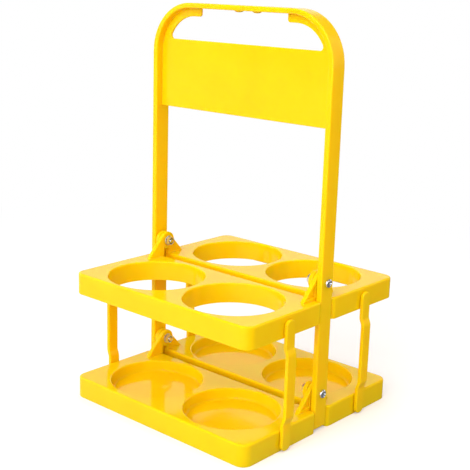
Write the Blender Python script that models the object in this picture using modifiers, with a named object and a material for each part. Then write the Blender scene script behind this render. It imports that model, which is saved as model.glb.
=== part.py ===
"""Folding drink carrier for four cups, moulded in plastic.

A carrying frame with a bare sign panel holds two tiers of half trays. The front and the rear
half trays turn on bolts through the frame's legs and fold up against it. Side links join the
upper and lower half trays, so that both tiers fold together.

Units are metres. +Z is up, +X runs across the carrying frame and -Y is the front. The origin
is on the floor, under the middle of the carrier.
"""
import math

import bmesh
import bpy
from mathutils import Matrix, Vector

# Half trays: outer sizes
TRAY_WIDTH = 0.2030
TRAY_REACH = 0.1000           # from the carrier's mid-plane to the outer end
TRAY_DEPTH = 0.0190           # height of the skirt
TRAY_CORNER = 0.0090          # outer corners, seen from above
HINGE_CORNER = 0.0035         # corners beside the legs, seen from above
TRAY_EDGE = 0.0020            # rounding of the upper edge
MID_GAP = 0.0100              # slot between the front and the rear half tray

# Half trays: walls
SKIRT_WALL = 0.0025
TOP_PLATE = 0.0025
COLLAR_WALL = 0.0022
COLLAR_LIFT = 0.0017          # the upper collars stop this far above the skirt's foot
RIB_WALL = 0.0016
RIB_DEPTH = 0.0090
RIB_OFFSET = 0.0240           # side ribs, before and behind the cups' centres

# Cup holes in the upper trays and cup recesses in the lower trays
CUP_WEB = 0.0054              # between the two cup holes of one half tray
CUP_OUTER_RIM = 0.0039        # from the trays' outer end to the cup holes
CUP_HINGE_RIM = 0.0059        # from the trays' hinge wall to the cup holes
RECESS_OUTER_RIM = 0.0067     # from the trays' outer end to the cup recesses
RECESS_STEP = 0.0013          # by which a recess's radius is smaller than a hole's
CUP_DRAFT = 0.0010            # narrowing of a cup hole from top to bottom
CUP_LIP = 0.0012              # rounding of a cup hole's upper edge
RECESS_FILLET = 0.0025
RECESS_FLOOR = 0.0020

# Hinge ears on the half trays
PIVOT_RISE = 0.0142           # from a tray's top to its pivot
EAR_RADIUS = 0.0080
EAR_FOOT = 0.0240             # from the mid-plane to the front of an ear's foot
EAR_WALL = 0.0040
EAR_WEB = 0.0018              # floor of the recess in an ear
EAR_RIM = 0.0026
EAR_SINK = 0.0012             # how far an ear reaches into the top plate
EAR_SET_BACK = 0.0004         # from the tray's hinge wall to the ear's back

# Carrying frame
FRAME_HEIGHT = 0.3492
FRAME_INSET = 0.0015          # from the trays' sides to the legs' outer faces
FRAME_CORNER = 0.0435
BAND_THICKNESS = 0.0052
BAND_DEPTH = 0.0158
BAND_EDGE = 0.0011
GRIP_THICKNESS = 0.0044
LEG_LIFT = 0.0015             # from the floor to the legs' ends
LEG_END_CORNER = 0.0020
PANEL_THICKNESS = 0.0024
PANEL_DROP = 0.0318           # from the grip's top to the panel's top
PANEL_HEIGHT = 0.0604
WEB_WIDTH = 0.0071            # web between the hand hole's corners and the band
WEB_END = 0.0478              # from the middle to the ends of these webs
WEB_END_CORNER = 0.0025
HAND_HOLE_CORNER = 0.0030     # lower corners of the hand hole
FINGER_STOP_DROP = 0.0017     # two low bumps under the grip's rear edge
FINGER_STOP_WIDTH = 0.0095
FINGER_STOP_PITCH = 0.0200
FINGER_STOP_WALL = 0.0030

# Side links
LINK_WIDTH = 0.0108
LINK_THICKNESS = 0.0032
LINK_BOW = 0.0022             # how far the middle stands off outwards
LINK_END = 0.0072             # from a pin to the link's end
LINK_END_CORNER = 0.0048
LINK_FLAT = 0.0165            # from a pin to the bend
LINK_BEND = 0.0055            # height of the bend
LINK_EDGE = 0.0007
LINK_Y = 0.0520               # from the mid-plane to the link's middle
LINK_PIN_LIFT = 0.0080        # from a tray's foot to its pins
LINK_PIN_RADIUS = 0.0026
LINK_PIN_HEAD = 0.0033
LINK_PIN_HEAD_LENGTH = 0.0018
LINK_PIN_TIP = 0.0021

# Pivot fasteners
BOLT_RADIUS = 0.0020
BOLT_HEAD_RADIUS = 0.0038
BOLT_HEAD_HEIGHT = 0.0026
BOLT_HEAD_CORNER = 0.0018
BOLT_TIP_CHAMFER = 0.0005
BOLT_TAIL = 0.0008            # thread beyond the nut
CROSS_LENGTH = 0.0042
CROSS_WIDTH = 0.0010
CROSS_DEPTH = 0.0016
NUT_FLATS = 0.0070
NUT_HEIGHT = 0.0032
NUT_CHAMFER = 0.0004          # how far the chamfer reaches in from the corners
WASHER_RADIUS = 0.0045
WASHER_THICKNESS = 0.0008

# Clearances
TOUCH = 0.0003                # between faces that rest on each other
SIDE_PLAY = 0.0005            # between parts that turn beside each other
BORE_PLAY = 0.0003            # around a pin in its hole
FOLD_CLEARANCE = 0.0025       # end to end between the folded tiers

# Facets
CUP_STEPS = 44
ROUND_STEPS = 16
PIN_STEPS = 12
EDGE_STEPS = 2
ARC_STEP = math.radians(15)
SMOOTH_BELOW = math.radians(50)

# Viewing aid
AXIS_MARKER = 0.0200

# Sizes and places that follow from the sizes above
UPPER_CUP_RADIUS = (TRAY_REACH - MID_GAP / 2 - CUP_OUTER_RIM - CUP_HINGE_RIM) / 2
UPPER_CUP_Y = TRAY_REACH - CUP_OUTER_RIM - UPPER_CUP_RADIUS
LOWER_CUP_RADIUS = UPPER_CUP_RADIUS - RECESS_STEP
LOWER_CUP_Y = TRAY_REACH - RECESS_OUTER_RIM - LOWER_CUP_RADIUS
CUP_PITCH = 2 * UPPER_CUP_RADIUS + CUP_WEB
PANEL_TOP = FRAME_HEIGHT - PANEL_DROP
PANEL_FOOT = PANEL_TOP - PANEL_HEIGHT
TIER_PITCH = TRAY_REACH - MID_GAP / 2 + FOLD_CLEARANCE
LOWER_PIVOT_Z = TRAY_DEPTH + PIVOT_RISE
UPPER_PIVOT_Z = LOWER_PIVOT_Z + TIER_PITCH
LEG_OUTER_X = TRAY_WIDTH / 2 - FRAME_INSET
LEG_INNER_X = LEG_OUTER_X - BAND_THICKNESS
LEG_FACE_Y = BAND_DEPTH / 2
NOTCH_X = LEG_INNER_X - TOUCH
NOTCH_Y = LEG_FACE_Y + TOUCH
OUTER_EAR_X = LEG_INNER_X - SIDE_PLAY - EAR_WALL / 2
INNER_EAR_X = OUTER_EAR_X - EAR_WALL - SIDE_PLAY
WASHER_X = INNER_EAR_X - EAR_WALL / 2 - TOUCH
NUT_X = WASHER_X - WASHER_THICKNESS - TOUCH
BOLT_SEAT_X = LEG_OUTER_X + TOUCH
BOLT_LENGTH = BOLT_SEAT_X - NUT_X + NUT_HEIGHT + BOLT_TAIL
LINK_INNER_X = TRAY_WIDTH / 2 + SIDE_PLAY

# Directions in which a flat outline (u, v) is extruded
ALONG_X = Matrix(((0, 0, 1, 0), (1, 0, 0, 0), (0, 1, 0, 0), (0, 0, 0, 1)))
ALONG_Y = Matrix(((1, 0, 0, 0), (0, 0, -1, 0), (0, 1, 0, 0), (0, 0, 0, 1)))
ALONG_Z = Matrix.Identity(4)


def clear_scene():
    for item in list(bpy.data.objects):
        bpy.data.objects.remove(item)


def collection(name):
    group = bpy.data.collections.new(name)
    bpy.context.scene.collection.children.link(group)
    return group


clear_scene()
PARTS = collection("drink_carrier")
CUTTERS = collection("cutters")


def material(name, color, roughness, metallic):
    mat = bpy.data.materials.new(name)
    mat.use_nodes = True
    shader = mat.node_tree.nodes["Principled BSDF"]
    shader.inputs["Base Color"].default_value = (*color, 1.0)
    shader.inputs["Roughness"].default_value = roughness
    shader.inputs["Metallic"].default_value = metallic
    return mat


YELLOW = (0.95, 0.62, 0.015)
FRAME_PLASTIC = material("frame_plastic", YELLOW, 0.22, 0.0)
TRAY_PLASTIC = material("tray_plastic", YELLOW, 0.20, 0.0)
LINK_PLASTIC = material("link_plastic", YELLOW, 0.25, 0.0)
BOLT_STEEL = material("bolt_steel", (0.72, 0.73, 0.76), 0.20, 1.0)
NUT_STEEL = material("nut_steel", (0.60, 0.61, 0.63), 0.28, 1.0)
WASHER_STEEL = material("washer_steel", (0.70, 0.71, 0.73), 0.30, 1.0)


# Outlines

def rounded(corners):
    """Closed outline whose corners, given as (u, v, radius), become arcs."""
    outline = []
    for index, (u, v, radius) in enumerate(corners):
        here = Vector((u, v))
        if radius == 0:
            outline.append(here)
            continue
        back = (Vector(corners[index - 1][:2]) - here).normalized()
        ahead = (Vector(corners[(index + 1) % len(corners)][:2]) - here).normalized()
        turn = math.pi - back.angle(ahead)
        side = math.copysign(1.0, ahead.cross(back))
        centre = here + (back + ahead).normalized() * radius / math.cos(turn / 2)
        arm = here + back * radius * math.tan(turn / 2) - centre
        steps = max(1, math.ceil(turn / ARC_STEP))
        for step in range(steps + 1):
            outline.append(centre + Matrix.Rotation(side * turn * step / steps, 2) @ arm)
    return outline


def arc(centre, radius, start, end, step=ARC_STEP):
    steps = max(1, math.ceil(abs(end - start) / step))
    angles = [start + (end - start) * index / steps for index in range(steps + 1)]
    return [Vector(centre) + radius * Vector((math.cos(a), math.sin(a))) for a in angles]


def circle(centre, radius, steps):
    return arc(centre, radius, 0.0, math.tau, math.tau / steps)[:-1]


# Solids

def new_object(name, data, group=CUTTERS):
    item = bpy.data.objects.new(name, data)
    group.objects.link(item)
    if group is CUTTERS:
        item.hide_render = True
        item.display_type = "WIRE"
    return item


def baked_mesh(item):
    """The object's evaluated mesh, welded, with plain faces and outward normals."""
    bpy.context.view_layer.update()
    evaluated = item.evaluated_get(bpy.context.evaluated_depsgraph_get())
    mesh = bpy.data.meshes.new_from_object(evaluated)
    form = bmesh.new()
    form.from_mesh(mesh)
    bmesh.ops.remove_doubles(form, verts=form.verts, dist=1e-6)
    bmesh.ops.recalc_face_normals(form, faces=form.faces)
    form.to_mesh(mesh)
    form.free()
    return mesh


def prism(name, outlines, low, high, direction=ALONG_Z):
    """Flat outline, with any further outlines as holes, extruded from low to high."""
    curve = bpy.data.curves.new(name, "CURVE")
    curve.dimensions = "2D"
    curve.fill_mode = "BOTH"
    curve.extrude = (high - low) / 2
    for outline in outlines:
        spline = curve.splines.new("POLY")
        spline.points.add(len(outline) - 1)
        for point, (u, v) in zip(spline.points, outline):
            point.co = (u, v, 0.0, 1.0)
        spline.use_cyclic_u = True
    drawing = new_object(name, curve)
    mesh = baked_mesh(drawing)
    bpy.data.objects.remove(drawing)
    form = bmesh.new()
    form.from_mesh(mesh)
    flat = math.radians(0.1)
    bmesh.ops.dissolve_limit(form, angle_limit=flat, verts=form.verts, edges=form.edges)
    bmesh.ops.translate(form, verts=form.verts, vec=(0, 0, (low + high) / 2))
    bmesh.ops.transform(form, verts=form.verts, matrix=direction)
    form.to_mesh(mesh)
    form.free()
    return new_object(name, mesh)


def block(name, low, high):
    mesh = bpy.data.meshes.new(name)
    form = bmesh.new()
    bmesh.ops.create_cube(form, size=1.0)
    size = [b - a for a, b in zip(low, high)]
    middle = [(a + b) / 2 for a, b in zip(low, high)]
    bmesh.ops.scale(form, verts=form.verts, vec=size)
    bmesh.ops.translate(form, verts=form.verts, vec=middle)
    form.to_mesh(mesh)
    form.free()
    return new_object(name, mesh)


def turned(name, profile, steps, closed=False):
    """Profile of (radius, height) points, listed from top to bottom, turned about Z."""
    mesh = bpy.data.meshes.new(name)
    edges = [(index, index + 1) for index in range(len(profile) - 1)]
    if closed:
        edges.append((len(profile) - 1, 0))
    mesh.from_pydata([(radius, 0.0, height) for radius, height in profile], edges, [])
    drawing = new_object(name, mesh)
    screw = drawing.modifiers.new("turn", "SCREW")
    screw.steps = screw.render_steps = steps
    screw.use_merge_vertices = True
    screw.merge_threshold = 0.00001
    solid = new_object(name, baked_mesh(drawing))
    bpy.data.objects.remove(drawing)
    return solid


def rod_along_x(name, radius, low_x, high_x, y, z, steps=ROUND_STEPS):
    return prism(name, [circle((y, z), radius, steps)], low_x, high_x, ALONG_X)


def combine(target, tools, operation="DIFFERENCE"):
    """Cut, join or intersect the target with each tool in turn, and keep the result."""
    for tool in tools:
        step = target.modifiers.new(tool.name, "BOOLEAN")
        step.operation = operation
        step.solver = "EXACT"
        step.object = tool
    target.data = baked_mesh(target)
    target.modifiers.clear()
    for tool in tools:
        bpy.data.objects.remove(tool)
    return target


def round_edges(target, width, chosen):
    """Round the edges for which chosen(edge) is true."""
    form = bmesh.new()
    form.from_mesh(target.data)
    edges = [edge for edge in form.edges if chosen(edge)]
    bmesh.ops.bevel(form, geom=edges, offset=width, segments=EDGE_STEPS, profile=0.5,
                    affect="EDGES", clamp_overlap=True)
    form.to_mesh(target.data)
    form.free()


def sharp(edge):
    return len(edge.link_faces) == 2 and edge.calc_face_angle() > math.radians(35)


# Half trays, modelled as the front one with z = 0 at the skirt's foot

def tray_outline(inset):
    """Outline of the front half tray seen from above, moved inwards by the inset."""
    side = TRAY_WIDTH / 2 - inset
    outer = -TRAY_REACH + inset
    beside_leg = -NOTCH_Y - inset
    hinge = -MID_GAP / 2 - inset
    notch = NOTCH_X - inset
    big, small = TRAY_CORNER - inset, HINGE_CORNER - inset
    return rounded([(-side, outer, big), (side, outer, big), (side, beside_leg, small),
                    (notch, beside_leg, 0), (notch, hinge, 0), (-notch, hinge, 0),
                    (-notch, beside_leg, 0), (-side, beside_leg, small)])


def tray_shell(cup_radius, cup_y, collar_lift):
    """Skirted shell with a collar for each cup, still closed where the cups go."""
    shell = prism("shell", [tray_outline(0.0)], 0.0, TRAY_DEPTH)
    rim = TRAY_DEPTH - TRAY_EDGE / 2
    round_edges(shell, TRAY_EDGE,
                lambda edge: sharp(edge) and all(vert.co.z > rim for vert in edge.verts))
    below = -TRAY_DEPTH
    hollow = prism("hollow", [tray_outline(SKIRT_WALL)], below, TRAY_DEPTH - TOP_PLATE)
    collars = [prism("collar", [circle((x, -cup_y), cup_radius + COLLAR_WALL, CUP_STEPS)],
                     2 * below, TRAY_DEPTH) for x in (-CUP_PITCH / 2, CUP_PITCH / 2)]
    tools = [combine(hollow, collars)]
    if collar_lift:
        tools.append(prism("collar_trim", [tray_outline(SKIRT_WALL)], below, collar_lift))
    return combine(shell, tools)


def tray_ribs(cup_radius, cup_y):
    """Stiffening ribs under the top plate: one between the cups and two beside each."""
    low, high = TRAY_DEPTH - TOP_PLATE - RIB_DEPTH, TRAY_DEPTH - TOP_PLATE / 2
    half = RIB_WALL / 2
    bite = SKIRT_WALL / 2
    ribs = [block("rib", (-half, -TRAY_REACH + bite, low), (half, -MID_GAP / 2 - bite, high))]
    for y in (-cup_y - RIB_OFFSET, -cup_y + RIB_OFFSET):
        collar = CUP_PITCH / 2 + math.sqrt(cup_radius ** 2 - RIB_OFFSET ** 2) + COLLAR_WALL / 2
        for low_x, high_x in ((collar, TRAY_WIDTH / 2 - bite), (-TRAY_WIDTH / 2 + bite, -collar)):
            ribs.append(block("rib", (low_x, y - half, low), (high_x, y + half, high)))
    return ribs


def ear(middle_x, outwards):
    """Triangular hinge ear, recessed on the side that outwards (+1 or -1) points to."""
    pivot = Vector((0.0, LOWER_PIVOT_Z))
    foot = Vector((-EAR_FOOT, TRAY_DEPTH))
    back = -MID_GAP / 2 - EAR_SET_BACK
    slope = pivot - foot
    slant = math.atan2(slope.y, slope.x) + math.asin(EAR_RADIUS / slope.length)
    rest = -math.acos(back / EAR_RADIUS)
    sunk = TRAY_DEPTH - EAR_SINK
    outline = [Vector((back, sunk)), *arc(pivot, EAR_RADIUS, rest, slant + math.pi / 2),
               foot, Vector((foot.x, sunk))]
    low, high = middle_x - EAR_WALL / 2, middle_x + EAR_WALL / 2
    solid = prism("ear", [outline], low, high, ALONG_X)

    rim_foot = TRAY_DEPTH + EAR_RIM
    front = foot.x + EAR_RIM / math.sin(slant) + EAR_RIM / math.tan(slant)
    rear = back - EAR_RIM
    apex = rim_foot + (rear - front) * math.tan(slant)
    face = middle_x + outwards * EAR_WALL / 2
    floor = face - outwards * (EAR_WALL - EAR_WEB)
    span = sorted((floor, face + outwards * EAR_WALL))
    recess = prism("recess", [[(front, rim_foot), (rear, rim_foot), (rear, apex)]], *span, ALONG_X)
    boss = rod_along_x("boss", EAR_RADIUS, span[0] - EAR_WALL, span[1] + EAR_WALL, *pivot)
    combine(recess, [boss])
    return combine(solid, [recess])


def cup_cutter(x, cup_radius, cup_y, floor):
    """Tapered plug that cuts a cup's hole, down to the floor or right through."""
    top = TRAY_DEPTH
    bottom = floor if floor else -CUP_LIP
    foot = cup_radius - CUP_DRAFT
    coarse = 3 * ARC_STEP
    lip = arc((cup_radius + CUP_LIP, top - CUP_LIP), CUP_LIP, math.pi / 2, math.pi, coarse)
    profile = [(0.0, top + CUP_LIP), (cup_radius + CUP_LIP, top + CUP_LIP), *lip]
    if floor:
        profile += arc((foot - RECESS_FILLET, bottom + RECESS_FILLET), RECESS_FILLET,
                       0.0, -math.pi / 2, coarse)
    else:
        profile.append((foot, bottom))
    profile.append((0.0, bottom))
    plug = turned("cup", profile, CUP_STEPS)
    plug.location = (x, -cup_y, 0.0)
    return plug


def half_tray(cup_radius, cup_y, floor, collar_lift):
    """Mesh of one half tray, with its origin moved to the pivot's axis."""
    tray = tray_shell(cup_radius, cup_y, collar_lift)
    joined = tray_ribs(cup_radius, cup_y)
    joined += [ear(OUTER_EAR_X, 1), ear(-INNER_EAR_X, -1)]
    combine(tray, joined, "UNION")
    side = TRAY_WIDTH / 2
    holes = [cup_cutter(x, cup_radius, cup_y, floor) for x in (-CUP_PITCH / 2, CUP_PITCH / 2)]
    for sign in (-1, 1):
        span = sorted((sign * (side - 2 * SKIRT_WALL), sign * (side + SKIRT_WALL)))
        holes.append(rod_along_x("pin_hole", LINK_PIN_RADIUS + BORE_PLAY, *span, -LINK_Y,
                                 LINK_PIN_LIFT, PIN_STEPS))
    holes.append(rod_along_x("bolt_hole", BOLT_RADIUS + BORE_PLAY, -side, side, 0.0, LOWER_PIVOT_Z))
    combine(tray, holes)
    tray.data.transform(Matrix.Translation((0.0, 0.0, -LOWER_PIVOT_Z)))
    return tray


# Carrying frame

def band_outline():
    """Inverted U of the legs and the grip, in the X-Z plane."""
    outer, inner = LEG_OUTER_X, LEG_INNER_X
    end = LEG_END_CORNER
    bend = FRAME_CORNER - BAND_THICKNESS
    grip = FRAME_HEIGHT - GRIP_THICKNESS
    return rounded([(-outer, LEG_LIFT, end), (-outer, FRAME_HEIGHT, FRAME_CORNER),
                    (outer, FRAME_HEIGHT, FRAME_CORNER), (outer, LEG_LIFT, end),
                    (inner, LEG_LIFT, end), (inner, grip, bend),
                    (-inner, grip, bend), (-inner, LEG_LIFT, end)][::-1])


def panel_outline():
    """Sign panel with its corner webs, whose edges end inside the band."""
    side = (LEG_OUTER_X + LEG_INNER_X) / 2
    top = FRAME_HEIGHT - GRIP_THICKNESS / 2
    corner = FRAME_CORNER - BAND_THICKNESS / 2
    return rounded([(-side, PANEL_FOOT, 0), (side, PANEL_FOOT, 0), (side, top, corner),
                    (-side, top, corner)])


def hand_hole_outline():
    """Hand hole above the panel, open upwards between the ends of the corner webs."""
    bend = FRAME_CORNER - BAND_THICKNESS
    middle = Vector((LEG_INNER_X - bend, FRAME_HEIGHT - GRIP_THICKNESS - bend))
    radius = bend - WEB_WIDTH
    corner, tip = HAND_HOLE_CORNER, WEB_END_CORNER
    rise = PANEL_TOP + corner - middle.y
    reach = math.sqrt((radius - corner) ** 2 - rise ** 2)
    touch = math.atan2(rise, reach)
    right = arc((middle.x + reach, PANEL_TOP + corner), corner, -math.pi / 2, touch)
    right += arc(middle, radius, touch, math.pi / 2)[1:]
    right += arc((WEB_END + tip, middle.y + radius + tip), tip, -math.pi / 2, -math.pi)
    right.append(Vector((WEB_END, FRAME_HEIGHT)))
    return right + [Vector((-point.x, point.y)) for point in reversed(right)]


def handle_frame():
    frame = prism("frame", [band_outline()], -BAND_DEPTH / 2, BAND_DEPTH / 2, ALONG_Y)
    round_edges(frame, BAND_EDGE,
                lambda edge: sharp(edge) and edge.verts[0].co.y * edge.verts[1].co.y > 0)
    half = PANEL_THICKNESS / 2
    panel = prism("panel", [panel_outline()], -half, half, ALONG_Y)
    combine(panel, [prism("hand_hole", [hand_hole_outline()], -BAND_DEPTH, BAND_DEPTH, ALONG_Y)])
    combine(frame, [panel, *finger_stops()], "UNION")
    holes = [rod_along_x("bolt_hole", BOLT_RADIUS + BORE_PLAY, -TRAY_WIDTH, TRAY_WIDTH, 0.0, z)
             for z in (LOWER_PIVOT_Z, UPPER_PIVOT_Z)]
    return combine(frame, holes)


def finger_stops():
    """Low bumps under the rear edge of the grip."""
    grip = FRAME_HEIGHT - GRIP_THICKNESS
    chord = FINGER_STOP_WIDTH / 2
    radius = (chord ** 2 + FINGER_STOP_DROP ** 2) / (2 * FINGER_STOP_DROP)
    reach = math.asin(chord / radius)
    rear = BAND_DEPTH / 2 - BAND_EDGE
    stops = []
    for x in (-FINGER_STOP_PITCH / 2, FINGER_STOP_PITCH / 2):
        middle = (x, grip - FINGER_STOP_DROP + radius)
        bump = arc(middle, radius, -math.pi / 2 - reach, -math.pi / 2 + reach)
        root = grip + GRIP_THICKNESS / 3
        outline = [(x - chord, root), *bump, (x + chord, root)]
        stops.append(prism("finger_stop", [outline], -rear, -rear + FINGER_STOP_WALL, ALONG_Y))
    return stops


# Side links, modelled as the right-hand one with its origin at the upper pin's axis

def side_link():
    """Strap with bent ends and a snap pin at each end."""
    high, low = LINK_END, -TIER_PITCH - LINK_END
    top, foot = -LINK_FLAT, -TIER_PITCH + LINK_FLAT
    bends = [(0.0, high), (0.0, top), (LINK_BOW, top - LINK_BEND), (LINK_BOW, foot + LINK_BEND),
             (0.0, foot), (0.0, low)]
    profile = bends + [(x + LINK_THICKNESS, z) for x, z in reversed(bends)]
    half = LINK_WIDTH / 2
    strap = prism("strap", [profile], -half, half, ALONG_Y)
    corner = LINK_END_CORNER
    ends = rounded([(-half, low, corner), (half, low, corner), (half, high, corner),
                    (-half, high, corner)])
    trim = prism("ends", [ends], -LINK_THICKNESS, LINK_BOW + 2 * LINK_THICKNESS, ALONG_X)
    combine(strap, [trim], "INTERSECT")
    round_edges(strap, LINK_EDGE, sharp)
    neck = -SKIRT_WALL - SIDE_PLAY - TOUCH
    combine(strap, [pin(neck, z) for z in (0.0, -TIER_PITCH)], "UNION")
    strap.data.transform(Matrix.Translation((LINK_INNER_X, 0.0, 0.0)))
    return strap


def pin(neck, z):
    """Snap pin through the tray's wall, with its wider head inside, pointing to -X."""
    head = neck - LINK_PIN_HEAD_LENGTH
    root = LINK_THICKNESS / 2
    profile = [(0.0, root), (LINK_PIN_RADIUS, root), (LINK_PIN_RADIUS, neck), (LINK_PIN_HEAD, neck),
               (LINK_PIN_TIP, head), (0.0, head)]
    solid = turned("pin", profile, PIN_STEPS)
    solid.matrix_world = Matrix.Translation((0.0, 0.0, z)) @ Matrix.Rotation(math.pi / 2, 4, "Y")
    return solid


# Pivot fasteners, modelled along Z with the bolt's head up

def bolt():
    """Pan-head bolt with a cross recess; z = 0 is the seat under its head."""
    corner, chamfer, tip = BOLT_HEAD_CORNER, BOLT_TIP_CHAMFER, -BOLT_LENGTH
    middle = (BOLT_HEAD_RADIUS - corner, BOLT_HEAD_HEIGHT - corner)
    head = arc(middle, corner, math.pi / 2, 0.0, 2 * ARC_STEP)
    profile = [(0.0, BOLT_HEAD_HEIGHT), *head, (BOLT_HEAD_RADIUS, 0.0), (BOLT_RADIUS, 0.0),
               (BOLT_RADIUS, tip + chamfer), (BOLT_RADIUS - chamfer, tip), (0.0, tip)]
    solid = turned("bolt", profile, ROUND_STEPS)
    floor, above = BOLT_HEAD_HEIGHT - CROSS_DEPTH, BOLT_HEAD_HEIGHT + CROSS_DEPTH
    long, wide = CROSS_LENGTH / 2, CROSS_WIDTH / 2
    slots = [block("slot", (-long, -wide, floor), (long, wide, above)),
             block("slot", (-wide, -long, floor), (wide, long, above))]
    return combine(solid, slots)


def nut():
    """Hexagon nut with chamfered corners; z = 0 is the face against the washer."""
    corner = NUT_FLATS / 2 / math.cos(math.pi / 6)
    slope = math.tan(math.pi / 6)
    solid = prism("nut", [circle((0.0, 0.0), corner, 6)], -NUT_HEIGHT, 0.0)
    peak, drop = (corner - NUT_CHAMFER) * slope, 2 * NUT_CHAMFER * slope
    rim = corner + NUT_CHAMFER
    cones = [(0.0, peak), (rim, -drop), (rim, drop - NUT_HEIGHT), (0.0, -NUT_HEIGHT - peak)]
    combine(solid, [turned("chamfer", cones, ROUND_STEPS)], "INTERSECT")
    bore = prism("bore", [circle((0.0, 0.0), BOLT_RADIUS + BORE_PLAY, ROUND_STEPS)],
                 -2 * NUT_HEIGHT, NUT_HEIGHT)
    return combine(solid, [bore])


def washer():
    """Plain washer; z = 0 is the face against the ear."""
    bore, rim = BOLT_RADIUS + BORE_PLAY, WASHER_RADIUS
    profile = [(bore, 0.0), (rim, 0.0), (rim, -WASHER_THICKNESS), (bore, -WASHER_THICKNESS)]
    return turned("washer", profile, ROUND_STEPS, closed=True)


# Assembly

def place(name, source, mat, parent, turn=Matrix.Identity(4), offset=(0.0, 0.0, 0.0)):
    """Put a copy of the source's mesh under the parent, turned and then moved."""
    item = new_object(name, source.data, PARTS)
    item.parent = parent
    item.matrix_basis = Matrix.Translation(offset) @ turn
    if not item.data.materials:
        item.data.materials.append(mat)
        item.data.shade_smooth()
        item.data.set_sharp_from_angle(angle=SMOOTH_BELOW)
    return item


def axis_empty(name, parent, position):
    """Empty at a joint's axis, placed in the parent's frame."""
    marker = bpy.data.objects.new(name, None)
    marker.empty_display_size = AXIS_MARKER
    PARTS.objects.link(marker)
    marker.parent = parent
    marker.location = position
    return marker


def build_carrier():
    root = axis_empty("carrier_origin", None, (0.0, 0.0, 0.0))
    place("handle_frame", handle_frame(), FRAME_PLASTIC, root)

    upper = half_tray(UPPER_CUP_RADIUS, UPPER_CUP_Y, 0.0, COLLAR_LIFT)
    lower = half_tray(LOWER_CUP_RADIUS, LOWER_CUP_Y, RECESS_FLOOR, 0.0)
    link = side_link()
    half_turn = Matrix.Rotation(math.pi, 4, "Z")
    link_drop = LINK_PIN_LIFT - LOWER_PIVOT_Z
    for end, facing, turn in (("front", -1, Matrix.Identity(4)), ("rear", 1, half_turn)):
        fold = axis_empty(end + "_fold_axis", root, (0.0, 0.0, UPPER_PIVOT_Z))
        place(end + "_upper_tray", upper, TRAY_PLASTIC, fold, turn)
        lower_fold = axis_empty(end + "_lower_fold_axis", root, (0.0, 0.0, LOWER_PIVOT_Z))
        place(end + "_lower_tray", lower, TRAY_PLASTIC, lower_fold, turn)
        for side, spin in (("right", Matrix.Identity(4)), ("left", half_turn)):
            hinge = axis_empty(f"{end}_{side}_link_axis", fold, (0.0, facing * LINK_Y, link_drop))
            place(f"{end}_{side}_link", link, LINK_PLASTIC, hinge, spin)

    fasteners = (("bolt", bolt(), BOLT_STEEL, BOLT_SEAT_X),
                 ("washer", washer(), WASHER_STEEL, WASHER_X),
                 ("nut", nut(), NUT_STEEL, NUT_X))
    for tier, z in (("upper", UPPER_PIVOT_Z), ("lower", LOWER_PIVOT_Z)):
        for side, sign in (("right", 1), ("left", -1)):
            outwards = Matrix.Rotation(sign * math.pi / 2, 4, "Y")
            for kind, source, mat, x in fasteners:
                place(f"{tier}_{side}_{kind}", source, mat, root, outwards, (sign * x, 0.0, z))

    for leftover in list(CUTTERS.objects):
        bpy.data.objects.remove(leftover)


build_carrier()
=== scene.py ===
import math

import bmesh
import bpy
from mathutils import Matrix, Vector


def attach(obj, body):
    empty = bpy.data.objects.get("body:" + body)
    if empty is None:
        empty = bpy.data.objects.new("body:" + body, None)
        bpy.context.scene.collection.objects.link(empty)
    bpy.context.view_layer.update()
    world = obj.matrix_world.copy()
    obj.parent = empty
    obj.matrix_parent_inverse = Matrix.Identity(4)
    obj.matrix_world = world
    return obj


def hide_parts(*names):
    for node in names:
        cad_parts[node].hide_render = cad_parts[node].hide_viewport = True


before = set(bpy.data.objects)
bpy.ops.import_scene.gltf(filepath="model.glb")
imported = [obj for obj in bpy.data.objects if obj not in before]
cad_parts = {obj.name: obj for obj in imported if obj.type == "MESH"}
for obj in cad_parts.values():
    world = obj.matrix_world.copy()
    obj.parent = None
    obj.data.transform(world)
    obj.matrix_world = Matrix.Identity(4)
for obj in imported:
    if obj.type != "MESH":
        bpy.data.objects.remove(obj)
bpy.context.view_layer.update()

# Sizes of the solids, in metres. Only the recess floor differs: it lies higher than theirs,
# as in the photograph, and the disc below it reaches down to the skirt's foot.
TRAY_WIDTH = 0.2030
TRAY_REACH = 0.1000
TRAY_DEPTH = 0.0190
TRAY_CORNER = 0.0090
HINGE_CORNER = 0.0035
TRAY_EDGE = 0.0020
MID_GAP = 0.0100
SKIRT_WALL = 0.0025
TOP_PLATE = 0.0025
COLLAR_WALL = 0.0022
COLLAR_LIFT = 0.0017
RIB_WALL = 0.0016
RIB_DEPTH = 0.0090
RIB_OFFSET = 0.0240
UPPER_CUP_RADIUS = 0.0426
LOWER_CUP_RADIUS = 0.0413
UPPER_CUP_Y = 0.0535
LOWER_CUP_Y = 0.0520
CUP_PITCH = 0.0906
CUP_DRAFT = 0.0010
CUP_LIP = 0.0012
RECESS_FILLET = 0.0025
RECESS_FLOOR = 0.0090
PIVOT_RISE = 0.0142
EAR_RADIUS = 0.0080
EAR_FOOT = 0.0240
EAR_WALL = 0.0040
EAR_WEB = 0.0018
EAR_RIM = 0.0026
EAR_SINK = 0.0012
EAR_SET_BACK = 0.0004
FRAME_HEIGHT = 0.3492
FRAME_INSET = 0.0015
FRAME_CORNER = 0.0435
BAND_THICKNESS = 0.0052
BAND_DEPTH = 0.0158
BAND_EDGE = 0.0011
GRIP_THICKNESS = 0.0044
LEG_LIFT = 0.0015
LEG_END_CORNER = 0.0020
PANEL_THICKNESS = 0.0024
PANEL_FOOT = 0.2570
PANEL_TOP = 0.3174
WEB_WIDTH = 0.0071
WEB_END = 0.0478
WEB_END_CORNER = 0.0025
HAND_HOLE_CORNER = 0.0030
FINGER_STOP_DROP = 0.0017
FINGER_STOP_WIDTH = 0.0095
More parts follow.
